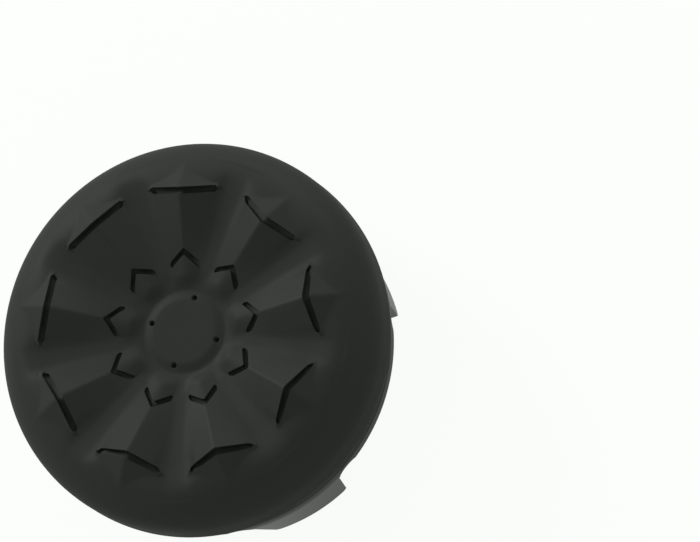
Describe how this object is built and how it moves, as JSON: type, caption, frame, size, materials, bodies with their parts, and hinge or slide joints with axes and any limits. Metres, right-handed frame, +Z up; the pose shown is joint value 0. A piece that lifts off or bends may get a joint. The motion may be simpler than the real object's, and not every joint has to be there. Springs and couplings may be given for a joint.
{
  "type": "controller thumb grip",
  "caption": "Round clip-on thumb grip for a controller stick: dished rubber pad with a raised star-shaped tread on a hard plastic clip with snap claws.",
  "frame": {"origin": "centre of the plane that the claw tips stand on", "axes": "+Z up through the middle of the pad towards the thumb; +X and +Y each run through the middle of a claw"},
  "size_m": [0.023, 0.023, 0.0122],
  "materials": {
    "pad_rubber": "matte, very fine moulded grain",
    "clip_plastic": "polished black moulding"
  },
  "bodies": {
    "root": {"grip_pad": "pad_rubber", "clip_base": "clip_plastic"}
  },
  "joints": []
}
